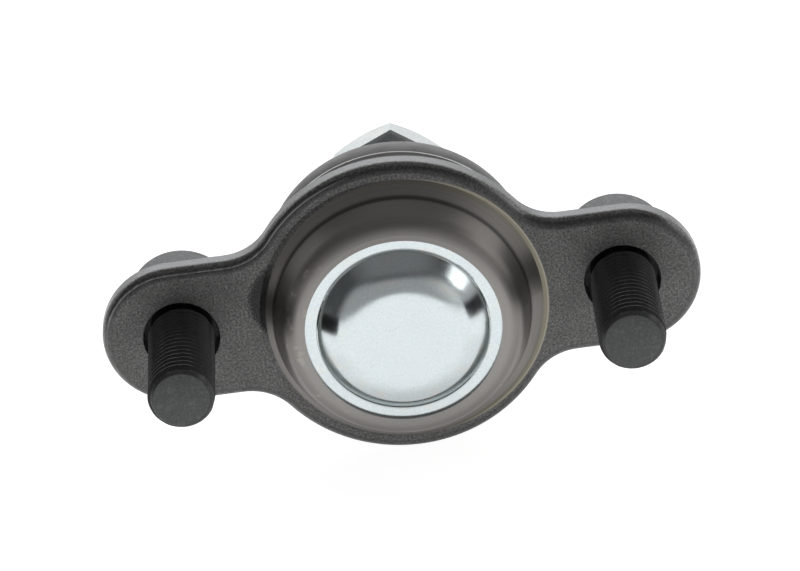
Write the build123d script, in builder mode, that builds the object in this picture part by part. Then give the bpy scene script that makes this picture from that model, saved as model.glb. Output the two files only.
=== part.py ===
from build123d import *
from math import atan2, cos, radians, sin, sqrt, tan
import os

# Suspension ball joint: a two-ear forged housing that holds a ball stud, a dust boot and two flange bolts.
# Millimetres. The stud axis is Y: the cover plate and the bolt tips point along -Y and the nut along +Y.
# X runs along the two ears and Z is up. The origin is on the axis, on the ears' mounting face.

# Ball, its seat and its swing
ball_diameter = 25.0
ball_flat_share = 0.84
ball_flat_sink = 0.5
seat_wall = 2.4
seat_reach = 6.3
seat_slot_count = 6
seat_slot_width = 1.0
seat_slot_depth = 3.8
swing_angle = 24.5
swing_room = 1.5

# Flange with two ears
bolt_spacing = 66.7
ear_half_width = 11.0
ear_end_overhang = 0.9
flange_rim = 2.3
flange_thickness = 4.3
flange_neck_radius = 8.3
flange_front_radius = 1.7
flange_back_radius = 1.0

# Turned boss and rolled lip on the cover side
cover_ledge = 1.1
lip_grip = 1.35
lip_wall = 1.3
lip_height = 7.45
lip_slope = 0.5
lip_edge_radius = 3.5
lip_thickness = 0.5
boss_taper = 1.95
boss_step_height = 2.0
boss_groove_depth = 0.3
boss_foot_flare = 2.0

# Hub on the stud side
groove_wall = 1.85
groove_depth = 0.65
groove_start = 4.15
groove_length = 4.5
hub_root_radius = 1.3
hub_height = 10.7
hub_lip_length = 1.3
hub_top_wall = 2.7

# Cover plate
cover_thickness = 1.5
dome_rim_width = 1.75
dome_run = 3.5
dome_height = 4.1
dome_shoulder_radius = 6.0
dome_foot_radius = 0.65

# Stud
neck_diameter = 12.0
neck_fillet = 1.7
collar_start = 16.7
collar_diameter = 15.5
collar_length = 5.0
taper_step = 0.25
taper_ratio = 10.0
taper_length = 12.5
thread_diameter = 12.0
thread_length = 15.4
thread_runout = 1.2
thread_chamfer = 1.2

# Stud nut with its locking ring
nut_standoff = 4.0
nut_across_flats = 18.0
nut_face_share = 0.95
nut_chamfer_angle = 45.0
nut_hex_height = 4.9
nut_edge_chamfer = 0.4
nut_turn = 6.0
nut_collar_wall = 1.55
nut_collar_height = 2.2
nut_collar_edge = 0.5
lock_ring_wall = 0.95
lock_ring_height = 1.6
lock_ring_cover = 0.4
lock_ring_hold = 0.4

# Dust boot and its two wire rings
boot_wall = 1.35
boot_bead_wall = 2.8
boot_bulge = 0.6
boot_bulge_rise = 2.85
boot_bulge_section = 3.3
boot_cone_turn = 73.0
boot_top_bead_wall = 2.2
boot_lip_room = 0.35
ring_wire = 1.2
ring_bed_depth = 0.4

# Shares of the pitch that a thread's depth, crest and root take, and the pitches
thread_depth_share = 0.6
thread_crest_share = 0.14
thread_root_share = 0.2
stud_pitch = 1.5
bolt_pitch = 1.25

# Flange bolts
bolt_diameter = 10.0
bolt_length = 25.0
bolt_thread_runout = 1.6
bolt_shank_diameter = 9.2
bolt_hole_play = 0.8
bolt_tip_chamfer = 0.8
bolt_tip_length = 1.0
bolt_head_diameter = 16.0
bolt_head_height = 10.0
bolt_head_edge = 0.6
bolt_key_across_flats = 8.0
bolt_key_depth = 5.0

# Clearances between pieces that fit together
ball_clearance = 0.08
seat_clearance = 0.05
cover_clearance = 0.05
boot_clearance = 0.10
thread_clearance = 0.05
ring_clearance = 0.05

# How near an edge must be to a height to be picked there
pick_tolerance = 0.05

# Radii worked out from the ball outwards
ball_radius = ball_diameter / 2
seat_inner_radius = ball_radius + ball_clearance
seat_outer_radius = seat_inner_radius + seat_wall
cavity_radius = seat_outer_radius + seat_clearance
cover_bed_radius = cavity_radius + cover_ledge
cover_radius = cover_bed_radius - cover_clearance
lip_inner_radius = cover_radius - lip_grip
lip_outer_radius = cover_radius + lip_wall
boss_radius = lip_outer_radius + boss_taper
boss_foot_radius = boss_radius + boss_foot_flare
flange_radius = boss_foot_radius + flange_rim
groove_radius = cavity_radius + groove_wall
hub_radius = groove_radius + groove_depth
neck_radius = neck_diameter / 2
collar_radius = collar_diameter / 2
taper_radius = collar_radius - taper_step
taper_end_radius = taper_radius - taper_length / (2 * taper_ratio)
thread_radius = thread_diameter / 2
bolt_radius = bolt_diameter / 2
bolt_hole_radius = bolt_radius + bolt_hole_play
ear_centre_x = bolt_spacing / 2 + ear_end_overhang

# Heights along the stud axis
lip_corner_y = lip_slope - lip_height
lip_back_y = lip_thickness - lip_height
cover_front_y = lip_back_y + cover_clearance
cover_back_y = cover_front_y + cover_thickness
ball_flat_y = cover_back_y - ball_flat_sink
ball_centre_y = ball_flat_y + ball_flat_share * ball_radius
seat_top_y = ball_centre_y + seat_reach
shoulder_y = seat_top_y + seat_clearance
hub_top_y = flange_thickness + hub_height
groove_start_y = flange_thickness + groove_start
groove_end_y = groove_start_y + groove_length
hub_lip_end_y = groove_end_y + hub_lip_length
collar_y = ball_centre_y + collar_start
collar_end_y = collar_y + collar_length
taper_end_y = collar_end_y + taper_length
stud_end_y = taper_end_y + thread_length
nut_y = taper_end_y + nut_standoff
nut_hex_end_y = nut_y + nut_hex_height
nut_end_y = nut_hex_end_y + nut_collar_height

FRONT = Plane.XZ


def across_front(y):
    """A plane square to the stud axis at height y, facing the cover side."""
    return FRONT.offset(-y)


def hexagon_radius(across_flats):
    """The corner radius of a hexagon."""
    return across_flats / 2 / cos(radians(30))


def on_sphere(radius, y):
    """How far from the axis a sphere about the ball centre is at height y."""
    return sqrt(radius**2 - (y - ball_centre_y) ** 2)


def sphere_arc(radius, start_y, end_y):
    """An arc of a sphere about the ball centre between two heights."""
    heights = (start_y, (start_y + end_y) / 2, end_y)
    return ThreePointArc(*[(on_sphere(radius, y), y) for y in heights])


def swing_radius(y):
    """The room that the neck needs at height y when the stud leans to its limit."""
    swing = radians(swing_angle)
    return (y - ball_centre_y) * tan(swing) + neck_radius / cos(swing) + swing_room


def thread_grooves(radius, pitch, start_y, end_y):
    """Corners of a thread between two heights, drawn as rings at its pitch, going up."""
    root_radius = radius - thread_depth_share * pitch
    root = thread_root_share * pitch
    flank = (1 - thread_crest_share - thread_root_share) * pitch / 2
    corners = []
    for turn in range(int((end_y - start_y) / pitch)):
        y = start_y + (turn + thread_crest_share) * pitch
        corners += [(radius, y), (root_radius, y + flank)]
        corners += [(root_radius, y + flank + root), (radius, y + 2 * flank + root)]
    return corners


def finish(piece, name):
    """Label a finished piece and write it."""
    piece.part.label = name
    export_step(piece.part, f"parts/{name}.step")


os.makedirs("parts", exist_ok=True)

# Housing: flange plate, boss and hub, less the cavity and the bolt holes
shoulder_radius = swing_radius(shoulder_y)
opening_radius = swing_radius(hub_top_y)
hub_root_sag = hub_root_radius * (1 - cos(radians(45)))
with BuildPart() as housing:
    with BuildSketch(across_front(flange_thickness)) as flange_outline:
        Circle(flange_radius)
        SlotCenterToCenter(2 * ear_centre_x, 2 * ear_half_width)
        fillet(flange_outline.vertices().group_by(SortBy.DISTANCE)[0], flange_neck_radius)
    extrude(amount=flange_thickness)
    fillet(housing.faces().sort_by(Axis.Y)[0].edges(), flange_front_radius)
    fillet(housing.faces().sort_by(Axis.Y)[-1].edges(), flange_back_radius)
    with BuildSketch():
        with BuildLine():
            Polyline(
                (0, -lip_height),
                (lip_inner_radius, -lip_height),
                (lip_outer_radius, lip_corner_y),
                (boss_radius, -boss_step_height - boss_groove_depth),
                (boss_radius - boss_groove_depth, -boss_step_height),
                (boss_radius, boss_groove_depth - boss_step_height),
                (boss_foot_radius, 0),
                (boss_foot_radius, flange_thickness),
                (hub_radius + hub_root_radius, flange_thickness),
            )
            ThreePointArc(
                (hub_radius + hub_root_radius, flange_thickness),
                (hub_radius + hub_root_sag, flange_thickness + hub_root_sag),
                (hub_radius, flange_thickness + hub_root_radius),
            )
            Polyline(
                (hub_radius, flange_thickness + hub_root_radius),
                (hub_radius, groove_start_y),
                (groove_radius, groove_start_y),
                (groove_radius, groove_end_y),
                (hub_radius, groove_end_y),
                (hub_radius, hub_lip_end_y),
                (opening_radius + hub_top_wall, hub_top_y),
                (0, hub_top_y),
                (0, -lip_height),
            )
        make_face()
    revolve(axis=Axis.Y)
    lip_corner = housing.edges().filter_by(GeomType.CIRCLE).filter_by_position(
        Axis.Y, lip_corner_y - pick_tolerance, lip_corner_y + pick_tolerance
    )
    fillet(lip_corner, lip_edge_radius)
    with BuildSketch():
        with BuildLine():
            Polyline(
                (0, -lip_height),
                (lip_inner_radius, -lip_height),
                (lip_inner_radius, lip_back_y),
                (cover_bed_radius, lip_back_y),
                (cover_bed_radius, cover_back_y),
                (cavity_radius, cover_back_y),
                (cavity_radius, ball_centre_y),
            )
            sphere_arc(cavity_radius, ball_centre_y, shoulder_y)
            Polyline(
                (on_sphere(cavity_radius, shoulder_y), shoulder_y),
                (shoulder_radius, shoulder_y),
                (opening_radius, hub_top_y),
                (0, hub_top_y),
                (0, -lip_height),
            )
        make_face()
    revolve(axis=Axis.Y, mode=Mode.SUBTRACT)
    with BuildSketch(across_front(flange_thickness)):
        with GridLocations(bolt_spacing, bolt_spacing, 2, 1):
            Circle(bolt_hole_radius)
    extrude(amount=flange_thickness, mode=Mode.SUBTRACT)
finish(housing, "housing")

# Cover plate: a pressed sheet with a raised round dome
dome_base_radius = lip_inner_radius - dome_rim_width
dome_top_radius = dome_base_radius - dome_run
dome_slope = atan2(dome_height, dome_run)
sheet_shift = cover_thickness * tan(dome_slope / 2)
with BuildPart() as cover_plate:
    with BuildSketch():
        with BuildLine():
            FilletPolyline(
                (0, cover_front_y - dome_height),
                (dome_top_radius, cover_front_y - dome_height),
                (dome_base_radius, cover_front_y),
                (cover_radius, cover_front_y),
                radius=[dome_shoulder_radius, dome_foot_radius],
            )
            Line((cover_radius, cover_front_y), (cover_radius, cover_back_y))
            FilletPolyline(
                (cover_radius, cover_back_y),
                (dome_base_radius - sheet_shift, cover_back_y),
                (dome_top_radius - sheet_shift, cover_back_y - dome_height),
                (0, cover_back_y - dome_height),
                radius=[dome_foot_radius + cover_thickness, dome_shoulder_radius - cover_thickness],
            )
            Line((0, cover_back_y - dome_height), (0, cover_front_y - dome_height))
        make_face()
    revolve(axis=Axis.Y)
finish(cover_plate, "cover_plate")

# Ball seat: a plastic shell, slotted at its mouth so that the ball snaps in
with BuildPart() as ball_seat:
    with BuildSketch():
        with BuildLine():
            Polyline(
                (seat_outer_radius, ball_centre_y),
                (seat_outer_radius, cover_back_y),
                (on_sphere(seat_inner_radius, cover_back_y), cover_back_y),
            )
            sphere_arc(seat_inner_radius, cover_back_y, seat_top_y)
            Line(
                (on_sphere(seat_inner_radius, seat_top_y), seat_top_y),
                (on_sphere(seat_outer_radius, seat_top_y), seat_top_y),
            )
            sphere_arc(seat_outer_radius, seat_top_y, ball_centre_y)
        make_face()
    revolve(axis=Axis.Y)
    with BuildSketch(across_front(seat_top_y)):
        with PolarLocations(seat_outer_radius, seat_slot_count):
            Rectangle(seat_outer_radius, seat_slot_width)
    extrude(amount=seat_slot_depth, mode=Mode.SUBTRACT)
finish(ball_seat, "ball_seat")

# Ball stud: ball, neck, seal collar, taper and thread
neck_start_y = ball_centre_y + sqrt(ball_radius**2 - neck_radius**2)
neck_end_y = collar_y - (collar_radius - neck_radius)
with BuildPart() as ball_stud:
    with BuildSketch():
        with BuildLine():
            Line((0, ball_flat_y), (on_sphere(ball_radius, ball_flat_y), ball_flat_y))
            sphere_arc(ball_radius, ball_flat_y, neck_start_y)
            Polyline(
                (neck_radius, neck_start_y),
                (neck_radius, neck_end_y),
                (collar_radius, collar_y),
                (collar_radius, collar_end_y),
                (taper_radius, collar_end_y),
                (taper_end_radius, taper_end_y),
                (thread_radius, taper_end_y),
                *thread_grooves(
                    thread_radius, stud_pitch, taper_end_y + thread_runout, stud_end_y - thread_chamfer
                ),
                (thread_radius, stud_end_y - thread_chamfer),
                (thread_radius - thread_chamfer, stud_end_y),
                (0, stud_end_y),
                (0, ball_flat_y),
            )
        make_face()
    revolve(axis=Axis.Y)
    neck_corner = ball_stud.edges().filter_by(GeomType.CIRCLE).filter_by_position(
        Axis.Y, neck_start_y - pick_tolerance, neck_start_y + pick_tolerance
    )
    fillet(neck_corner, neck_fillet)
finish(ball_stud, "ball_stud")

# Dust boot: a bead in the hub groove, one bulge, a cone and a bead on the stud collar
bead_inner_radius = groove_radius + boot_clearance
bead_outer_radius = bead_inner_radius + boot_bead_wall
bead_start_y = groove_start_y + boot_clearance
bead_end_y = groove_end_y - boot_clearance
top_bead_inner_radius = collar_radius + boot_clearance
top_bead_outer_radius = top_bead_inner_radius + boot_top_bead_wall
bulge_radius = bead_outer_radius + boot_bulge
bulge_y = bead_end_y + boot_bulge_rise
wire_radius = ring_wire / 2
ring_reach = wire_radius - ring_bed_depth
lower_ring_spot = (bead_outer_radius + ring_reach, bead_end_y - wire_radius - ring_bed_depth)
upper_ring_spot = (top_bead_outer_radius + ring_reach, (collar_y + collar_end_y) / 2)


def bulge_point(section_radius):
    """Where the bulge of the given section radius runs into the cone."""
    turn = radians(boot_cone_turn)
    centre_radius = bulge_radius - boot_bulge_section
    return centre_radius + section_radius * cos(turn), bulge_y + section_radius * sin(turn)


with BuildPart() as dust_boot:
    with BuildSketch():
        with BuildLine():
            Polyline(
                (hub_radius + boot_lip_room, bead_end_y),
                (bead_inner_radius, bead_end_y),
                (bead_inner_radius, bead_start_y),
                (bead_outer_radius, bead_start_y),
                (bead_outer_radius, bead_end_y),
            )
            ThreePointArc(
                (bead_outer_radius, bead_end_y),
                (bulge_radius, bulge_y),
                bulge_point(boot_bulge_section),
            )
            Polyline(
                bulge_point(boot_bulge_section),
                (top_bead_outer_radius, collar_y + boot_clearance),
                (top_bead_outer_radius, collar_end_y),
                (top_bead_inner_radius, collar_end_y),
                (top_bead_inner_radius, collar_y + boot_clearance),
                bulge_point(boot_bulge_section - boot_wall),
            )
            ThreePointArc(
                bulge_point(boot_bulge_section - boot_wall),
                (bulge_radius - boot_wall, bulge_y),
                (hub_radius + boot_lip_room, bead_end_y),
            )
        make_face()
    revolve(axis=Axis.Y)
    with BuildSketch():
        with Locations(lower_ring_spot, upper_ring_spot):
            Circle(wire_radius + ring_clearance)
    revolve(axis=Axis.Y, mode=Mode.SUBTRACT)
finish(dust_boot, "dust_boot")

# Wire rings that clamp the two beads of the boot
for ring_name, ring_spot in (("boot_lower_ring", lower_ring_spot), ("boot_upper_ring", upper_ring_spot)):
    with BuildPart() as ring:
        with BuildSketch():
            with Locations(ring_spot):
                Circle(wire_radius)
        revolve(axis=Axis.Y)
    finish(ring, ring_name)

# Stud nut: a chamfered hexagon with a round collar that holds the locking ring
nut_bore_radius = thread_radius + thread_clearance
nut_collar_radius = nut_bore_radius + nut_collar_wall
nut_corner_radius = hexagon_radius(nut_across_flats)
nut_face_radius = nut_face_share * nut_across_flats / 2
nut_chamfer = (nut_corner_radius - nut_face_radius) * tan(radians(nut_chamfer_angle))
lock_ring_radius = nut_bore_radius + lock_ring_wall
lock_ring_end_y = nut_end_y - lock_ring_cover
lock_ring_y = lock_ring_end_y - lock_ring_height
with BuildPart() as stud_nut:
    with BuildSketch(across_front(nut_hex_end_y)):
        RegularPolygon(nut_corner_radius, 6, rotation=90 - nut_turn)
    extrude(amount=nut_hex_height)
    chamfer(stud_nut.faces().sort_by(Axis.Y)[0].edges(), nut_edge_chamfer)
    with BuildSketch():
        with BuildLine():
            Polyline(
                (0, nut_y),
                (nut_corner_radius, nut_y),
                (nut_corner_radius, nut_hex_end_y - nut_chamfer),
                (nut_face_radius, nut_hex_end_y),
                (0, nut_hex_end_y),
                close=True,
            )
        make_face()
    revolve(axis=Axis.Y, mode=Mode.INTERSECT)
    with BuildSketch(across_front(nut_end_y)):
        Circle(nut_collar_radius)
    extrude(amount=nut_collar_height)
    fillet(stud_nut.faces().sort_by(Axis.Y)[-1].edges(), nut_collar_edge)
    with BuildSketch():
        with BuildLine():
            Polyline(
                (0, nut_y),
                (nut_bore_radius, nut_y),
                (nut_bore_radius, lock_ring_y),
                (lock_ring_radius, lock_ring_y),
                (lock_ring_radius, lock_ring_end_y),
                (lock_ring_radius - lock_ring_hold, lock_ring_end_y),
                (lock_ring_radius - lock_ring_hold, nut_end_y),
                (0, nut_end_y),
                close=True,
            )
        make_face()
    revolve(axis=Axis.Y, mode=Mode.SUBTRACT)
finish(stud_nut, "stud_nut")

with BuildPart() as nut_lock_ring:
    with BuildSketch(across_front(lock_ring_end_y)):
        Circle(lock_ring_radius - ring_clearance)
        Circle(nut_bore_radius, mode=Mode.SUBTRACT)
    extrude(amount=lock_ring_height)
finish(nut_lock_ring, "nut_lock_ring")

# Flange bolts: socket-head screws through the ears, heads on the stud side, with a plain shank inside the ear
bolt_tip_y = flange_thickness - bolt_length
head_end_y = flange_thickness + bolt_head_height
for bolt_name, bolt_x in (("bolt_left", -bolt_spacing / 2), ("bolt_right", bolt_spacing / 2)):
    bolt_axis = Axis((bolt_x, 0, 0), (0, 1, 0))
    with BuildPart() as bolt:
        with BuildSketch(Plane((bolt_x, 0, 0))):
            with BuildLine():
                Polyline(
                    (0, bolt_tip_y),
                    (bolt_radius - bolt_tip_chamfer, bolt_tip_y),
                    (bolt_radius, bolt_tip_y + bolt_tip_length),
                    *thread_grooves(
                        bolt_radius, bolt_pitch, bolt_tip_y + bolt_tip_length, -bolt_thread_runout
                    ),
                    (bolt_radius, 0),
                    (bolt_shank_diameter / 2, 0),
                    (bolt_shank_diameter / 2, flange_thickness),
                    (bolt_head_diameter / 2, flange_thickness),
                    (bolt_head_diameter / 2, head_end_y),
                    (0, head_end_y),
                    close=True,
                )
            make_face()
        revolve(axis=bolt_axis)
        fillet(bolt.faces().sort_by(Axis.Y)[-1].edges(), bolt_head_edge)
        with BuildSketch(across_front(head_end_y)):
            with Locations((bolt_x, 0)):
                RegularPolygon(hexagon_radius(bolt_key_across_flats), 6)
        extrude(amount=bolt_key_depth, mode=Mode.SUBTRACT)
    finish(bolt, bolt_name)
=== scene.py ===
import math

import bmesh
import bpy
from mathutils import Matrix, Vector


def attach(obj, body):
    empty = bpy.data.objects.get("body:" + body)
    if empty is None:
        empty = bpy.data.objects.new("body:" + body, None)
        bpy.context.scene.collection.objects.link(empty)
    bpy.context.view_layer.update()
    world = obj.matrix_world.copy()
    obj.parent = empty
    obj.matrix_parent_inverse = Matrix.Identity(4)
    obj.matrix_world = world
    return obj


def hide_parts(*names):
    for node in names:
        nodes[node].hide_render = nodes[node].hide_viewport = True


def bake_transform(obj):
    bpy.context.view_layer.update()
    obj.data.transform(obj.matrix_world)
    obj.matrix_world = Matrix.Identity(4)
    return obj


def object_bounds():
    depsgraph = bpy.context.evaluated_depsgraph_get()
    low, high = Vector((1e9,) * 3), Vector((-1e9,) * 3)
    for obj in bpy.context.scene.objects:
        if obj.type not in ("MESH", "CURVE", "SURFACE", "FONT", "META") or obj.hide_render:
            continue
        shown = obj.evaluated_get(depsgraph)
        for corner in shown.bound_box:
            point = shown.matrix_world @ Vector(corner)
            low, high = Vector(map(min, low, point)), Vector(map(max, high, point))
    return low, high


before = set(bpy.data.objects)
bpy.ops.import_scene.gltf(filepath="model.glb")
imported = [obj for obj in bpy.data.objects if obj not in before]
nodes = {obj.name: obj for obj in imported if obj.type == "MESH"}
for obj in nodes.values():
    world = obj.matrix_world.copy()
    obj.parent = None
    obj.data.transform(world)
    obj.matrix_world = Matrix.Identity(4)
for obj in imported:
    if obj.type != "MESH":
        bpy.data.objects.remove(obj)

# Suspension ball joint: threads, boot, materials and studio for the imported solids.
# The part's lengths are in millimetres until a mesh is made, and the studio's are in metres.
# The frame is that of the solids: Y is the stud axis and Z is up.
cad_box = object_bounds()
MM = 0.001
scene = bpy.context.scene
scene.view_settings.view_transform = "Standard"

# Housing outline and flange
flange_radius = 23.63
flange_front_radius = 1.7
neck_radius = 8.3
neck_centre = (25.44, 19.3)
ear_half_width = 11.0
ear_centre_x = 34.25

# Parting line of the forging, on the flange's front rounding
parting_height = 0.1
parting_sunk = -0.03
parting_angle = 52
parting_half_angle = 7
parting_fade_x = -3.0
parting_fade_length = 10.0

# Flange bolts
bolt_x = 33.35
bolt_radius = 5.0
bolt_pitch = 1.25
bolt_tip_y = -20.7
bolt_tip_radius = 4.2
bolt_tip_length = 1.0
bolt_tip_edge = 0.15
bolt_tip_edge_length = 0.1
bolt_shank_radius = 4.6
bolt_thread_end_y = 0.0
bolt_runout = 0.1
bolt_head_y = 4.3
bolt_head_end_y = 14.3
bolt_head_radius = 8.0
bolt_head_edge = 0.6
bolt_head_foot_edge = 0.3
bolt_key_across_flats = 8.0
bolt_key_floor_y = 9.3
bolt_key_mouth_radius = 4.9
bolt_key_mouth_depth = 0.5

# Ball stud
ball_centre_y = 4.6
ball_radius = 12.5
ball_flat_y = -5.9
stud_neck_radius = 6.0
stud_neck_fillet = 1.7
collar_radius = 7.75
collar_y = 21.3
collar_end_y = 26.3
taper_radius = 7.5
taper_end_radius = 6.875
taper_end_y = 38.8
stud_relief_radius = 5.0
stud_relief_length = 1.2
stud_radius = 6.0
stud_pitch = 1.5
stud_end_y = 54.2
stud_chamfer = 1.2
stud_end_edge = 0.1
stud_end_edge_length = 0.05
stud_dimple = 1.3

# Dust boot: the bulge and the cone's lower part lie on one side of a cut square to the axis, the rest of
# the cone on the other
boot_cut_y = 19.4
boot_cut_edge = 0.1
bead_inner_radius = 16.98
bead_outer_radius = 19.78
bead_start_y = 8.55
bead_end_y = 12.85
bead_edge = 0.3
bulge_outer = ((19.78, 12.85), (20.38, 15.7), (18.045, 18.856))
bulge_inner = ((17.88, 12.85), (19.78, 15.7), (18.1, 18.2))
cone_end = (10.55, 21.25)
top_bead_inner_radius = 7.85
top_bead_outer_radius = 10.05
top_bead_y = 21.4
top_bead_shoulder_y = 21.8
top_bead_end_y = 26.3
lower_ring_spot = (19.98, 11.85)
upper_ring_spot = (10.25, 23.8)
ring_bed_radius = 0.65

# Metric thread: the share of the pitch that its depth, crest and root take
thread_depth = 0.613
thread_crest = 0.86
thread_root = 0.22
steps_per_pitch = 12
columns = 96


def from_rings(name, rows, centre_x=0.0, closed_section=False):
    """A skin of rings round the Y axis. A row is (radius, y), and a radius may depend on the angle."""
    work = bmesh.new()
    rings = []
    for radius, y in rows:
        if radius == 0:
            rings.append([work.verts.new((centre_x * MM, y * MM, 0))])
            continue
        ring = []
        for step in range(columns):
            turn = 2 * math.pi * step / columns
            reach = radius(turn) if callable(radius) else radius
            x = centre_x + reach * math.cos(turn)
            z = reach * math.sin(turn)
            ring.append(work.verts.new((x * MM, y * MM, z * MM)))
        rings.append(ring)
    pairs = list(zip(rings, rings[1:]))
    if closed_section:
        pairs.append((rings[-1], rings[0]))
    for first, second in pairs:
        for step in range(columns):
            after = (step + 1) % columns
            if len(first) == 1:
                corners = (first[0], second[step], second[after])
            elif len(second) == 1:
                corners = (first[step], first[after], second[0])
            else:
                corners = (first[step], first[after], second[after], second[step])
            work.faces.new(corners)
    return to_object(name, work, sharp_angle=35)


def to_object(name, work, sharp_angle):
    """Turn the worked mesh into an object with smooth faces and sharp edges past an angle."""
    bmesh.ops.recalc_face_normals(work, faces=work.faces)
    mesh = bpy.data.meshes.new(name)
    work.to_mesh(mesh)
    work.free()
    mesh.shade_smooth()
    mesh.set_sharp_from_angle(angle=math.radians(sharp_angle))
    made = bpy.data.objects.new(name, mesh)
    scene.collection.objects.link(made)
    return made


def arc_points(centre, radius, start, end, count):
    """Points on an arc, from one angle in degrees to another."""
    points = []
    for step in range(count + 1):
        turn = math.radians(start + (end - start) * step / count)
        points.append((centre[0] + radius * math.cos(turn), centre[1] + radius * math.sin(turn)))
    return points


def arc_through(first, middle, last, count):
    """Points on the arc from the first point through the middle one to the last."""
    (ax, ay), (bx, by), (cx, cy) = first, middle, last
    double = 2 * (ax * (by - cy) + bx * (cy - ay) + cx * (ay - by))
    squares = [x * x + y * y for x, y in (first, middle, last)]
    ox = (squares[0] * (by - cy) + squares[1] * (cy - ay) + squares[2] * (ay - by)) / double
    oy = (squares[0] * (cx - bx) + squares[1] * (ax - cx) + squares[2] * (bx - ax)) / double
    start = math.degrees(math.atan2(ay - oy, ax - ox))
    end = math.degrees(math.atan2(cy - oy, cx - ox))
    return arc_points((ox, oy), math.hypot(ax - ox, ay - oy), start, end, count)


def straight(first, last, count):
    """Points along a straight run, both ends in it."""
    shares = [step / count for step in range(count + 1)]
    return [tuple(a + (b - a) * share for a, b in zip(first, last)) for share in shares]


def threaded(radius, pitch, y, limit):
    """The radius by angle of a right-hand sixty-degree thread at a height, no larger than the limit."""

    def radius_at(turn):
        place = (y / pitch + turn / (2 * math.pi)) % 1.0
        height = abs(2 * place - 1)
        flank = min(max((height - thread_root) / (thread_crest - thread_root), 0.0), 1.0)
        return min(radius - thread_depth * pitch * (1 - flank), limit)

    return radius_at


def thread_rows(radius, pitch, start_y, end_y, limit_at):
    """Rows of a thread between two heights, held inside a limit that may change along it."""
    count = round((end_y - start_y) / pitch * steps_per_pitch)
    rows = []
    for step in range(count + 1):
        y = start_y + (end_y - start_y) * step / count
        rows.append((threaded(radius, pitch, y, limit_at(y)), y))
    return rows


def hexagon(across_flats):
    """The radius by angle of a hexagon."""

    def radius_at(turn):
        return across_flats / 2 / math.cos(turn % (math.pi / 3) - math.pi / 6)

    return radius_at


def make_bolt(name, centre_x):
    """A cylinder-head screw with a cut thread, a plain shank in the ear and a hexagon socket."""

    def tip_limit(y):
        share = (y - bolt_tip_y) / bolt_tip_length
        return bolt_tip_radius + (bolt_radius - bolt_tip_radius) * max(share, 0.0)

    thread_start_y = bolt_tip_y + bolt_tip_edge_length
    edge_centre = (bolt_head_radius - bolt_head_edge, bolt_head_end_y - bolt_head_edge)
    socket = hexagon(bolt_key_across_flats)
    rows = [(0, bolt_tip_y), (bolt_tip_radius - bolt_tip_edge, bolt_tip_y)]
    rows += thread_rows(bolt_radius, bolt_pitch, thread_start_y, bolt_thread_end_y, tip_limit)
    rows += [(bolt_shank_radius, bolt_thread_end_y + bolt_runout), (bolt_shank_radius, bolt_head_y)]
    rows += [(bolt_head_radius - bolt_head_foot_edge, bolt_head_y)]
    rows += [(bolt_head_radius, bolt_head_y + bolt_head_foot_edge)]
    rows += arc_points(edge_centre, bolt_head_edge, 0, 90, count=5)
    rows += [(bolt_key_mouth_radius, bolt_head_end_y), (socket, bolt_head_end_y - bolt_key_mouth_depth)]
    rows += [(socket, bolt_key_floor_y), (0, bolt_key_floor_y - bolt_key_mouth_depth)]
    return from_rings(name, rows, centre_x)


def make_stud():
    """The ball stud with its thread cut."""

    def end_limit(y):
        return stud_radius - stud_chamfer + min(stud_end_y - y, stud_chamfer)

    flat_angle = math.degrees(math.asin((ball_flat_y - ball_centre_y) / ball_radius))
    fillet_radius = stud_neck_radius + stud_neck_fillet
    fillet_y = ball_centre_y + math.sqrt((ball_radius + stud_neck_fillet) ** 2 - fillet_radius**2)
    ball_angle = math.degrees(math.atan2(fillet_y - ball_centre_y, fillet_radius))
    collar_foot_y = collar_y - (collar_radius - stud_neck_radius)
    thread_start_y = taper_end_y + stud_relief_length
    thread_end_y = stud_end_y - stud_end_edge_length
    end_radius = stud_radius - stud_chamfer - stud_end_edge
    rows = [(0, ball_flat_y)]
    rows += arc_points((0, ball_centre_y), ball_radius, flat_angle, ball_angle, count=28)
    rows += arc_points((fillet_radius, fillet_y), stud_neck_fillet, 180 + ball_angle, 180, count=6)[1:]
    rows += [(stud_neck_radius, collar_foot_y), (collar_radius, collar_y), (collar_radius, collar_end_y)]
    rows += [(taper_radius, collar_end_y), (taper_end_radius, taper_end_y)]
    rows += [(stud_relief_radius, taper_end_y + stud_relief_length / 2)]
    rows += thread_rows(stud_radius, stud_pitch, thread_start_y, thread_end_y, end_limit)
    rows += [(end_radius, stud_end_y), (stud_dimple, stud_end_y), (0, stud_end_y - stud_dimple)]
    return from_rings("stud_threaded", rows)


def ring_bed(spot, wall_radius):
    """Points of the half-round bed of a wire ring in a wall, going up."""
    turn = math.degrees(math.acos((wall_radius - spot[0]) / ring_bed_radius))
    return arc_points(spot, ring_bed_radius, 360 - turn, turn, count=10)


def split_at(path, y):
    """A rising path in two parts that both hold the point at height y."""
    below = [point for point in path if point[1] < y]
    above = [point for point in path if point[1] > y]
    low, high = below[-1], above[0]
    share = (y - low[1]) / (high[1] - low[1])
    crossing = (low[0] + (high[0] - low[0]) * share, y)
    return below + [crossing], [crossing] + above


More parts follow.
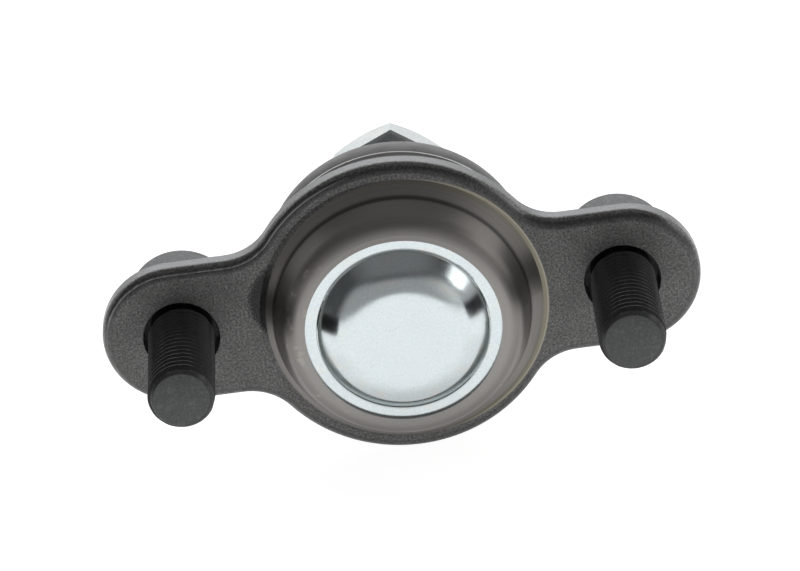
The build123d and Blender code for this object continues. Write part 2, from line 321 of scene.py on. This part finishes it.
def make_boot():
    """The boot as two closed skins that thin out to one edge at the cut."""
    outer = [(bead_inner_radius + bead_edge, bead_start_y)]
    outer += [(bead_outer_radius - bead_edge, bead_start_y)]
    outer += [(bead_outer_radius, bead_start_y + bead_edge)]
    outer += ring_bed(lower_ring_spot, bead_outer_radius)
    outer += arc_through(*bulge_outer, count=36)
    outer += straight(bulge_outer[2], cone_end, count=24)[1:]
    outer += [(top_bead_outer_radius, top_bead_shoulder_y)]
    outer += ring_bed(upper_ring_spot, top_bead_outer_radius)
    outer += [(top_bead_outer_radius, top_bead_end_y - bead_edge)]
    outer += [(top_bead_outer_radius - bead_edge, top_bead_end_y), (top_bead_inner_radius, top_bead_end_y)]
    outer_below, outer_above = split_at(outer, boot_cut_y)
    cut_inside = (outer_below[-1][0] - boot_cut_edge, boot_cut_y)
    inner_below = [(bead_inner_radius, bead_start_y + bead_edge), (bead_inner_radius, bead_end_y)]
    inner_below += arc_through(*bulge_inner, count=14)
    inner_below += straight(bulge_inner[2], cut_inside, count=8)[1:]
    inner_above = straight(cut_inside, (top_bead_inner_radius, top_bead_y), count=24)
    lower = from_rings("boot_lower_half", outer_below + inner_below[::-1], closed_section=True)
    upper = from_rings("boot_upper_half", outer_above + inner_above[::-1], closed_section=True)
    return lower, upper


def flange_outline(inset):
    """Points of the flange's outline in X and Z, moved inwards by the inset."""
    tangent = math.degrees(math.atan2(neck_centre[1], neck_centre[0]))
    ear_arc = arc_points((ear_centre_x, 0), ear_half_width - inset, 0, 90, count=24)
    neck_arc = arc_points(neck_centre, neck_radius + inset, 270, 180 + tangent, count=16)
    round_arc = arc_points((0, 0), flange_radius - inset, tangent, 90, count=30)
    quarter = ear_arc + neck_arc + round_arc[1:]
    outline = list(quarter)
    outline += [(-x, z) for x, z in quarter[-2::-1]]
    outline += [(-x, -z) for x, z in quarter[1:]]
    outline += [(x, -z) for x, z in quarter[-2:0:-1]]
    return outline


def rounding_row(turn, radius):
    """Points round the flange on its front rounding, at an angle from its side and a radius."""
    inset = flange_front_radius - radius * math.cos(turn)
    y = flange_front_radius - radius * math.sin(turn)
    return [Vector((x, y, z)) for x, z in flange_outline(inset)]


def make_parting_line():
    """The thin raised line that the trimmed flash leaves on the left of the flange's front rounding."""
    work = bmesh.new()
    rings = []
    for angle, reach in (
        (parting_angle - parting_half_angle, parting_sunk),
        (parting_angle - parting_half_angle / 3, parting_height),
        (parting_angle + parting_half_angle / 3, parting_height),
        (parting_angle + parting_half_angle, parting_sunk),
    ):
        turn = math.radians(angle)
        proud_row = rounding_row(turn, flange_front_radius + reach)
        sunk_row = rounding_row(turn, flange_front_radius + parting_sunk)
        ring = []
        for proud, low in zip(proud_row, sunk_row):
            share = min(max((parting_fade_x - low.x) / parting_fade_length, 0.0), 1.0)
            ring.append(work.verts.new(low.lerp(proud, share) * MM))
        rings.append(ring)
    for first, second in zip(rings, rings[1:]):
        for step in range(len(first)):
            after = (step + 1) % len(first)
            work.faces.new((first[step], first[after], second[after], second[step]))
    return to_object("flange_parting_line", work, sharp_angle=60)


def fresh_tree(owner, output_kind):
    """The emptied node tree of a material or a world, and the surface socket of its output."""
    owner.use_nodes = True
    tree = owner.node_tree
    tree.nodes.clear()
    return tree, tree.nodes.new(output_kind).inputs["Surface"]


def new_material(name):
    """A material with one principled shader, its node tree and the shader."""
    material = bpy.data.materials.new(name)
    tree, surface = fresh_tree(material, "ShaderNodeOutputMaterial")
    shader = tree.nodes.new("ShaderNodeBsdfPrincipled")
    tree.links.new(shader.outputs["BSDF"], surface)
    return material, tree, shader


def add(tree, kind, inputs, **settings):
    """Add a node, set it up and link or set its inputs."""
    made = tree.nodes.new("ShaderNode" + kind)
    for key, value in settings.items():
        setattr(made, key, value)
    for key, value in inputs.items():
        if isinstance(value, bpy.types.NodeSocket):
            tree.links.new(value, made.inputs[key])
        else:
            made.inputs[key].default_value = value
    return made


def connect(tree, shader, colour, roughness, normal):
    """Link what varies over the surface to the shader."""
    tree.links.new(colour, shader.inputs["Base Color"])
    tree.links.new(roughness, shader.inputs["Roughness"])
    tree.links.new(normal, shader.inputs["Normal"])


def math_of(tree, operation, first, second=0.0):
    """One operation on one or two values."""
    return add(tree, "Math", {0: first, 1: second}, operation=operation).outputs[0]


def product(tree, first, *others):
    """The product of two or more values."""
    for other in others:
        first = math_of(tree, "MULTIPLY", first, other)
    return first


def total(tree, first, *others):
    """The sum of two or more values."""
    for other in others:
        first = math_of(tree, "ADD", first, other)
    return first


def largest(tree, first, *others):
    """The largest of two or more values."""
    for other in others:
        first = math_of(tree, "MAXIMUM", first, other)
    return first


def fade(tree, value, low, high, start=0.0, end=1.0):
    """A smooth step of a value from start at low to end at high."""
    inputs = {"Value": value, "From Min": low, "From Max": high, "To Min": start, "To Max": end}
    return add(tree, "MapRange", inputs, interpolation_type="SMOOTHSTEP").outputs[0]


def zone(tree, *fades):
    """The product of fades, each given as a value and its span."""
    return product(tree, *(fade(tree, value, *span) for value, span in fades))


def between(tree, share, first, second):
    """A value between two, by a share."""
    return add(tree, "MapRange", {"Value": share, "To Min": first, "To Max": second}).outputs[0]


def mixed(tree, share, first, second):
    """A colour between two, by a share."""
    return add(tree, "Mix", {0: share, 6: first, 7: second}, data_type="RGBA").outputs[2]


def noise(tree, vector, scale, detail=3.0, roughness=0.55):
    """Noise at a scale in features per unit of the vector."""
    inputs = {"Vector": vector, "Scale": scale, "Detail": detail, "Roughness": roughness}
    return add(tree, "TexNoise", inputs).outputs[0]


def tool_lines(tree, radius, y, scale):
    """Noise in rings round the Y axis, as a lathe leaves them."""
    rings = add(tree, "CombineXYZ", {0: radius, 1: y, 2: 0.0}).outputs[0]
    return noise(tree, rings, scale, detail=2.0)


def bump(tree, height, strength, distance, base=None):
    """A bump normal from a height, its depth in millimetres, on a base normal where one is given."""
    inputs = {"Height": height, "Strength": strength, "Distance": distance * MM}
    if base is not None:
        inputs["Normal"] = base
    return add(tree, "Bump", inputs).outputs[0]


def coordinates(tree, kind):
    """One kind of texture coordinates."""
    return add(tree, "TexCoord", {}).outputs[kind]


def parts_of(tree, vector):
    """The X, Y and Z of a vector."""
    return tuple(add(tree, "SeparateXYZ", {0: vector}).outputs)


def place_in_mm(tree):
    """The point on the object in millimetres."""
    point = coordinates(tree, "Object")
    return add(tree, "VectorMath", {0: point, "Scale": 1 / MM}, operation="SCALE").outputs[0]


def axis_distance(tree, across, along, centre=0.0):
    """How far a point is from an axis, by its two coordinates square to that axis."""
    offset = math_of(tree, "SUBTRACT", across, centre)
    return math_of(tree, "SQRT", total(tree, product(tree, offset, offset), product(tree, along, along)))


def grey(level, warm=0.0):
    """A grey as linear colour, warmer above zero and cooler below."""
    return (level * (1 + warm), level, level * (1 - warm), 1.0)


# In the materials, a span is where a fade starts and ends, with its two values where they aren't 0 and 1
noise_span = (0.3, 0.7)


def turned_zone(tree, y, cut_radius):
    """Where the housing is turned: boss, lip and a ring of the flange in front, and the hub behind."""
    ring_end = (21.4, 21.15)
    ring_back = (0.5, 0.3)
    hub_start = (4.5, 4.9)
    front = zone(tree, (cut_radius, ring_end), (y, ring_back))
    return largest(tree, front, fade(tree, y, *hub_start))


def painted_shade_zone(tree, x, y, z, radius, grain):
    """A ragged patch of painted shade on the flange's front, left of the boss and narrower above and below.
    """
    ragged = 2.0
    middle_z = 5.0
    narrowing = 0.27
    reach = (24.7, 23.5, 0.0, 0.75)
    side = (-17.0, -20.0)
    front = (1.5, 0.8)
    above = product(tree, math_of(tree, "SUBTRACT", z, middle_z), narrowing)
    ragged_radius = total(tree, radius, product(tree, grain, ragged), product(tree, above, above))
    return zone(tree, (ragged_radius, reach), (x, side), (y, front))


def skin_colour(tree, place, y, grain, painted_shade):
    """The forged skin: fine grain, patches, bright specks, a trimmed side and a dark front rounding."""
    dark_grain = grey(0.09, 0.01)
    pale_grain = grey(0.29, 0.01)
    grain_span = (0.32, 0.68)
    patch_grey = grey(0.10, 0.02)
    patch_span = (0.35, 0.7, 0.0, 0.35)
    speck_grey = grey(0.42, 0.02)
    speck_span = (0.60, 0.70)
    speck_field = (0.48, 0.6, 0.1, 0.6)
    trimmed_grey = grey(0.25, -0.03)
    trimmed_start = (1.4, 2.0)
    trimmed_end = (4.2, 3.6, 0.0, 0.7)
    painted_shade_grey = grey(0.02)
    rounding_grey = grey(0.07)
    rounding_start = (0.01, 0.05)
    rounding_end = (0.9, 0.5, 0.0, 0.6)
    patches = noise(tree, place, scale=0.22)
    spots = noise(tree, place, scale=2.4, detail=2.0)
    specks = zone(tree, (spots, speck_span), (patches, speck_field))
    trimmed = zone(tree, (y, trimmed_start), (y, trimmed_end))
    rounding = zone(tree, (y, rounding_start), (y, rounding_end))
    colour = mixed(tree, fade(tree, grain, *grain_span), dark_grain, pale_grain)
    colour = mixed(tree, fade(tree, patches, *patch_span), colour, patch_grey)
    colour = mixed(tree, specks, colour, speck_grey)
    colour = mixed(tree, trimmed, colour, trimmed_grey)
    # Painted shade on the flange's front, left of the boss
    colour = mixed(tree, painted_shade, colour, painted_shade_grey)
    return mixed(tree, rounding, colour, rounding_grey)


def cut_colour(tree, place, x, y, radius, cut_radius, lines):
    """The turned steel: tool lines, an olive ring with a painted highlight on its right edge, a paler lip,
    worn spots and painted shade in the groove.
    """
    dark_line = grey(0.23, 0.05)
    pale_line = grey(0.28, 0.06)
    ring_olive = (0.27, 0.25, 0.20, 1.0)
    ring_start = (20.1, 20.6)
    ring_foot = (-0.9, -0.5)
    ring_side = (4.0, 12.0, 0.2, 1.0)
    # A painted highlight on the turned ring's outer edge, on the right side only
    edge_highlight_olive = (0.46, 0.43, 0.35, 1.0)
    edge_highlight_start = (20.95, 21.1)
    edge_highlight_side = (6.0, 16.0, 0.0, 0.7)
    lip_grey = grey(0.38, 0.04)
    lip_reach = (17.2, 15.6)
    lip_front = (-6.5, -6.9, 0.0, 0.8)
    worn_grey = grey(0.42, 0.08)
    worn_span = (0.56, 0.66)
    worn_side = (-6.0, -14.0, 0.0, 0.8)
    worn_front = (-5.2, -6.0)
    # Painted shade in the groove of the boss wall
    groove_shade_grey = grey(0.04)
    groove_shade_start = (-2.8, -2.35)
    groove_shade_end = (-1.35, -1.75)
    groove_shade_reach = (19.9, 19.6, 0.0, 0.75)
    blotches = noise(tree, place, scale=0.55, detail=4.0, roughness=0.6)
    ring = zone(tree, (cut_radius, ring_start), (y, ring_foot), (x, ring_side))
    edge = zone(tree, (cut_radius, edge_highlight_start), (x, edge_highlight_side))
    lip = zone(tree, (radius, lip_reach), (y, lip_front))
    worn = zone(tree, (blotches, worn_span), (x, worn_side), (y, worn_front))
    groove_shade = zone(tree, (y, groove_shade_start), (y, groove_shade_end), (radius, groove_shade_reach))
    colour = mixed(tree, fade(tree, lines, *noise_span), dark_line, pale_line)
    colour = mixed(tree, ring, colour, ring_olive)
    colour = mixed(tree, edge, colour, edge_highlight_olive)
    colour = mixed(tree, lip, colour, lip_grey)
    colour = mixed(tree, worn, colour, worn_grey)
    return mixed(tree, groove_shade, colour, groove_shade_grey)


def forged_material():
    """Dark forged skin with a turned boss, lip and hub. The turned ring lies a little off the axis."""
    turned_centre_x = 0.85
    front_gloss = (0.02, 0.08, 0.58, 0.32)
    turned_roughness = 0.42
    material, tree, shader = new_material("forged_and_turned_steel")
    place = place_in_mm(tree)
    x, y, z = parts_of(tree, place)
    radius = axis_distance(tree, x, z)
    cut_radius = axis_distance(tree, x, z, turned_centre_x)
    grain = noise(tree, place, scale=3.0, detail=4.0, roughness=0.7)
    lines = tool_lines(tree, radius, y, scale=9.0)
    turned = turned_zone(tree, y, cut_radius)
    skin = skin_colour(tree, place, y, grain, painted_shade_zone(tree, x, y, z, radius, grain))
    cut = cut_colour(tree, place, x, y, radius, cut_radius, lines)
    pits = product(tree, grain, math_of(tree, "SUBTRACT", 1.0, turned))
    cut_normal = bump(tree, product(tree, lines, turned), strength=0.3, distance=0.015)
    connect(
        tree,
        shader,
        colour=mixed(tree, turned, skin, cut),
        roughness=between(tree, turned, fade(tree, y, *front_gloss), turned_roughness),
        normal=bump(tree, pits, strength=0.4, distance=0.06, base=cut_normal),
    )
    shader.inputs["Metallic"].default_value = 0.85
    return material


def zinc_material(name, blue, crease_radius):
    """Bright zinc plate with a fine spangle, and painted shade in the crease at a radius about the axis."""
    light_zinc = (0.80 - blue, 0.82, 0.82 + blue / 2, 1.0)
    dull_zinc = (0.73 - blue, 0.76, 0.76 + blue / 2, 1.0)
    spangle_span = (0.35, 0.7)
    tint_yellow = (0.80, 0.77, 0.68, 1.0)
    tint_span = (0.5, 0.7, 0.0, 0.35)
    tint_start = (8.0, 10.0)
    scuff_grey = grey(0.52, -0.03)
    scuff_span = (0.63, 0.72, 0.0, 0.5)
    # Painted shade along the crease
    crease_shade_grey = grey(0.08, -0.03)
    crease_shade_start = (crease_radius - 0.08, crease_radius - 0.02)
    crease_shade_end = (crease_radius + 0.1, crease_radius + 0.02, 0.0, 0.5)
    roughness_range = (0.16, 0.23)
    material, tree, shader = new_material(name)
    place = place_in_mm(tree)
    x, _, z = parts_of(tree, place)
    radius = axis_distance(tree, x, z)
    spangle = noise(tree, place, scale=3.0, detail=4.0, roughness=0.6)
    cloud = noise(tree, place, scale=0.25)
    stains = noise(tree, place, scale=0.4, detail=2.0)
    scuffs = noise(tree, place, scale=1.3, detail=5.0, roughness=0.7)
    tint = zone(tree, (stains, tint_span), (radius, tint_start))
    crease_shade = zone(tree, (radius, crease_shade_start), (radius, crease_shade_end))
    colour = mixed(tree, fade(tree, spangle, *spangle_span), dull_zinc, light_zinc)
    colour = mixed(tree, tint, colour, tint_yellow)
    colour = mixed(tree, fade(tree, scuffs, *scuff_span), colour, scuff_grey)
    colour = mixed(tree, crease_shade, colour, crease_shade_grey)
    connect(
        tree,
        shader,
        colour=colour,
        roughness=fade(tree, cloud, *noise_span, *roughness_range),
        normal=bump(tree, spangle, strength=0.15, distance=0.02),
    )
    shader.inputs["Metallic"].default_value = 1.0
    return material


def bolt_material():
    """Black phosphate: oiled on the thread, dry and greyer on the head and the tip."""
    dark_oil = grey(0.012)
    pale_oil = grey(0.026)
    dark_dust = grey(0.21, -0.02)
    pale_dust = grey(0.28, -0.02)
    scuff_grey = grey(0.40, -0.02)
    scuff_span = (0.52, 0.68, 0.0, 0.6)
    head_start = (3.0, 4.0)
    end_face = (bolt_tip_y + 0.12, bolt_tip_y + 0.02, 0.0, 0.6)
    end_chamfer = (bolt_tip_y + 1.05, bolt_tip_y + 0.85, 0.0, 0.2)
    oiled_roughness = 0.33
    dry_roughness = 0.6
    material, tree, shader = new_material("black_phosphate")
    place = place_in_mm(tree)
    _, y, _ = parts_of(tree, place)
    grain = noise(tree, place, scale=3.5)
    scuffs = noise(tree, place, scale=0.9, detail=4.0, roughness=0.7)
    dry = largest(tree, *(fade(tree, y, *span) for span in (head_start, end_face, end_chamfer)))
    oiled = mixed(tree, fade(tree, grain, *noise_span), dark_oil, pale_oil)
    dusty = mixed(tree, fade(tree, grain, *noise_span), dark_dust, pale_dust)
    dusty = mixed(tree, fade(tree, scuffs, *scuff_span), dusty, scuff_grey)
    connect(
        tree,
        shader,
        colour=mixed(tree, dry, oiled, dusty),
        roughness=fade(tree, dry, 0.0, 1.0, oiled_roughness, dry_roughness),
        normal=bump(tree, grain, strength=0.3, distance=0.05),
    )
    shader.inputs["Metallic"].default_value = 0.3
    return material


def turned_material(name, dark, light, roughness, scale):
    """Bare steel with fine lines round the Y axis."""
    roughness_spread = 0.12
    material, tree, shader = new_material(name)
    x, y, z = parts_of(tree, place_in_mm(tree))
    lines = tool_lines(tree, axis_distance(tree, x, z), y, scale)
    connect(
        tree,
        shader,
        colour=mixed(tree, fade(tree, lines, *noise_span), dark, light),
        roughness=fade(tree, lines, *noise_span, roughness, roughness + roughness_spread),
        normal=bump(tree, lines, strength=0.3, distance=0.02),
    )
    shader.inputs["Metallic"].default_value = 1.0
    return material


def rubber_material():
    """Matte moulded rubber with a dusty bloom."""
    # The rubber's greys are black rubber's own colour lightened with painted sheen
    dark_rubber_and_sheen = grey(0.22)
    pale_rubber_and_sheen = grey(0.29)
    bloom_span = (0.35, 0.7)
    dust_grey = grey(0.34)
    dust_span = (0.45, 0.75, 0.0, 0.5)
    roughness_range = (0.42, 0.58)
    material, tree, shader = new_material("boot_rubber")
    place = place_in_mm(tree)
    grain = noise(tree, place, scale=4.0)
    bloom = noise(tree, place, scale=0.3)
    colour = mixed(tree, fade(tree, bloom, *bloom_span), dark_rubber_and_sheen, pale_rubber_and_sheen)
    connect(
        tree,
        shader,
        colour=mixed(tree, fade(tree, grain, *dust_span), colour, dust_grey),
        roughness=fade(tree, grain, *noise_span, *roughness_range),
        normal=bump(tree, grain, strength=0.3, distance=0.04),
    )
    shader.inputs["Sheen Weight"].default_value = 0.25
    return material


def plastic_material(name, dark, light):
    """Natural moulded plastic with slight clouding."""
    roughness_range = (0.35, 0.5)
    material, tree, shader = new_material(name)
    place = place_in_mm(tree)
    cloud = noise(tree, place, scale=0.5)
    grain = noise(tree, place, scale=6.0, detail=2.0)
    connect(
        tree,
        shader,
        colour=mixed(tree, fade(tree, cloud, *noise_span), dark, light),
        roughness=fade(tree, grain, *noise_span, *roughness_range),
        normal=bump(tree, grain, strength=0.15, distance=0.02),
    )
    return material


def dress(piece, material):
    """Give a piece one material."""
    slots = piece.data.materials
    slots.clear()
    slots.append(material)


# Materials
forged = forged_material()
zinc = zinc_material("cover_zinc", blue=0.04, crease_radius=12.98)
nut_zinc = zinc_material("nut_zinc", blue=0.02, crease_radius=7.7)
black_bolt = bolt_material()
stud_steel = turned_material("stud_steel", grey(0.38), grey(0.5), roughness=0.28, scale=4.0)
wire_steel = turned_material("ring_wire", grey(0.42), grey(0.55), roughness=0.3, scale=7.0)
worn_steel = turned_material("worn_flash", grey(0.13), grey(0.26), roughness=0.4, scale=2.0)
rubber = rubber_material()
acetal = plastic_material("seat_acetal", grey(0.70, 0.03), grey(0.80, 0.03))
nylon = plastic_material("lock_nylon", grey(0.52, -0.02), grey(0.62, -0.02))

# Solids that keep their shape
for name, material in (
    ("housing", forged),
    ("cover_plate", zinc),
    ("ball_seat", acetal),
    ("boot_lower_ring", wire_steel),
    ("boot_upper_ring", wire_steel),
    ("stud_nut", nut_zinc),
    ("nut_lock_ring", nylon),
):
    dress(nodes[name], material)

# Bolts and stud with cut threads
for name, side in (("bolt_left", -1), ("bolt_right", 1)):
    bolt = make_bolt(name + "_threaded", side * bolt_x)
    dress(bolt, black_bolt)
    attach(bolt, "housing")
    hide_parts(name)
stud = make_stud()
dress(stud, stud_steel)
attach(stud, "stud")
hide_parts("ball_stud")

# Boot halves
lower_half, upper_half = make_boot()
for half in (lower_half, upper_half):
    dress(half, rubber)
    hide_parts("dust_boot")
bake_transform(lower_half)
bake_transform(upper_half)

# Parting line of the forging
parting_line = make_parting_line()
dress(parting_line, worn_steel)
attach(parting_line, "housing")


def floor_material():
    """A pale floor that is white to the camera and keeps the shadow. To reflections it shows a painted pool
    of light with a painted shadow near the part.
    """
    whiteness = 0.93
    # To reflections, the floor's glow is a painted pool of light that dims past 0.15 m, with a painted
    # shadow within 3 cm of the part
    painted_pool_far = (0.15, 0.6, 0.88, 0.35)
    painted_shadow_near = (0.008, 0.03, 0.75, 1.0)
    material = bpy.data.materials.new("floor")
    tree, surface = fresh_tree(material, "ShaderNodeOutputMaterial")
    rays = add(tree, "LightPath", {}).outputs
    right, back, _ = parts_of(tree, coordinates(tree, "Object"))
    away = axis_distance(tree, right, back)
    bright = zone(tree, (away, painted_pool_far), (away, painted_shadow_near))
    mirrored = product(tree, rays["Is Glossy Ray"], bright)
    seen = largest(tree, rays["Is Camera Ray"], mirrored, rays["Is Transmission Ray"])
    glow = add(tree, "Emission", {"Color": grey(1.0), "Strength": product(tree, seen, whiteness)})
    matte = add(tree, "BsdfDiffuse", {"Color": grey(0.5)})
    both = add(tree, "AddShader", {0: glow.outputs[0], 1: matte.outputs[0]})
    tree.links.new(both.outputs[0], surface)
    return material


def make_floor():
    """A wide floor under the lowest point of the part."""
    reach = 4.0
    z = cad_box[0][2]
    mesh = bpy.data.meshes.new("floor")
    corners = [(-reach, -reach, z), (reach, -reach, z), (reach, reach, z), (-reach, reach, z)]
    mesh.from_pydata(corners, [], [(0, 1, 2, 3)])
    floor = bpy.data.objects.new("floor", mesh)
    scene.collection.objects.link(floor)
    mesh.materials.append(floor_material())


def direction(azimuth, elevation):
    """A direction from the part: azimuth 0 is the camera's side, 90 is right; elevation is up."""
    turn = math.radians(azimuth)
    rise = math.radians(elevation)
    return Vector((math.sin(turn) * math.cos(rise), -math.cos(turn) * math.cos(rise), math.sin(rise)))


def softbox(name, azimuth, elevation, distance, width, height, radiance, mirrored):
    """A soft area light that faces the part, and whether metal mirrors it."""
    light = bpy.data.lights.new(name, "AREA")
    light.shape = "ELLIPSE"
    light.size = width
    light.size_y = height
    light.energy = radiance * math.pi * width * height
    lamp = bpy.data.objects.new(name, light)
    away = direction(azimuth, elevation)
    lamp.location = away * distance
    lamp.rotation_euler = away.to_track_quat("Z", "Y").to_euler()
    lamp.visible_glossy = mirrored
    scene.collection.objects.link(lamp)


def make_world():
    """A dim room with pale walls and ceiling for reflections, white to the camera past the floor."""
    dim_level = 0.06
    back_wall_start = (0.0, 0.35, 0.0, 0.85)
    back_wall_top = (0.62, 0.5)
    back_wall_left = (-0.95, -0.45, 0.4, 1.0)
    front_wall_start = (-0.2, -0.6, 0.0, 0.3)
    front_wall_top = (0.75, 0.5)
    right_wall_start = (0.3, 0.9, 0.0, 0.35)
    right_wall_top = (0.6, 0.3)
    ceiling_start = (0.6, 0.9, 0.0, 0.12)
    world = bpy.data.worlds.new("room")
    tree, surface = fresh_tree(world, "ShaderNodeOutputWorld")
    rays = add(tree, "LightPath", {}).outputs
    right, back, up = parts_of(tree, coordinates(tree, "Generated"))
    back_wall = zone(tree, (back, back_wall_start), (up, back_wall_top), (right, back_wall_left))
    front_wall = zone(tree, (back, front_wall_start), (up, front_wall_top))
    right_wall = zone(tree, (right, right_wall_start), (up, right_wall_top))
    ceiling = fade(tree, up, *ceiling_start)
    walls = total(tree, back_wall, front_wall, ceiling, right_wall)
    mirrored = product(tree, rays["Is Glossy Ray"], walls)
    seen = largest(tree, rays["Is Camera Ray"], mirrored)
    strength = between(tree, seen, dim_level, 1.0)
    glow = add(tree, "Background", {"Color": grey(1.0), "Strength": strength})
    tree.links.new(glow.outputs[0], surface)
    scene.world = world


def make_camera():
    """The camera at the photograph's angle, with its roll. It was solved from the bolts and the outline."""
    target = Vector((0.1997, 0.0, 3.919)) * MM
    distance = 748.116 * MM
    back = direction(azimuth=1.34856, elevation=25.57247)
    roll = math.radians(-8.00838)
    right = (-back).cross(Vector((0, 0, 1))).normalized()
    up = right.cross(-back)
    across = right * math.cos(roll) + up * math.sin(roll)
    above = up * math.cos(roll) - right * math.sin(roll)
    data = bpy.data.cameras.new("camera")
    data.sensor_width = 36.0
    data.lens = 225.0
    camera = bpy.data.objects.new("camera", data)
    turn = Matrix((across, above, back)).transposed().to_4x4()
    camera.matrix_world = Matrix.Translation(target + back * distance) @ turn
    scene.collection.objects.link(camera)
    scene.camera = camera


# Floor, light and camera
make_floor()
make_world()
for name, azimuth, elevation, distance, width, height, radiance, mirrored in (
    ("back_softbox", 180, 31, 0.8, 1.6, 0.28, 1.0, True),
    ("right_softbox", 84, 23, 0.6, 0.24, 0.24, 1.1, True),
    ("front_fill", -15, 28, 1.2, 1.2, 0.5, 0.3, False),
    ("top_fill", 180, 62, 0.9, 0.8, 0.6, 2.6, False),
):
    softbox(name, azimuth, elevation, distance, width, height, radiance, mirrored)
make_camera()
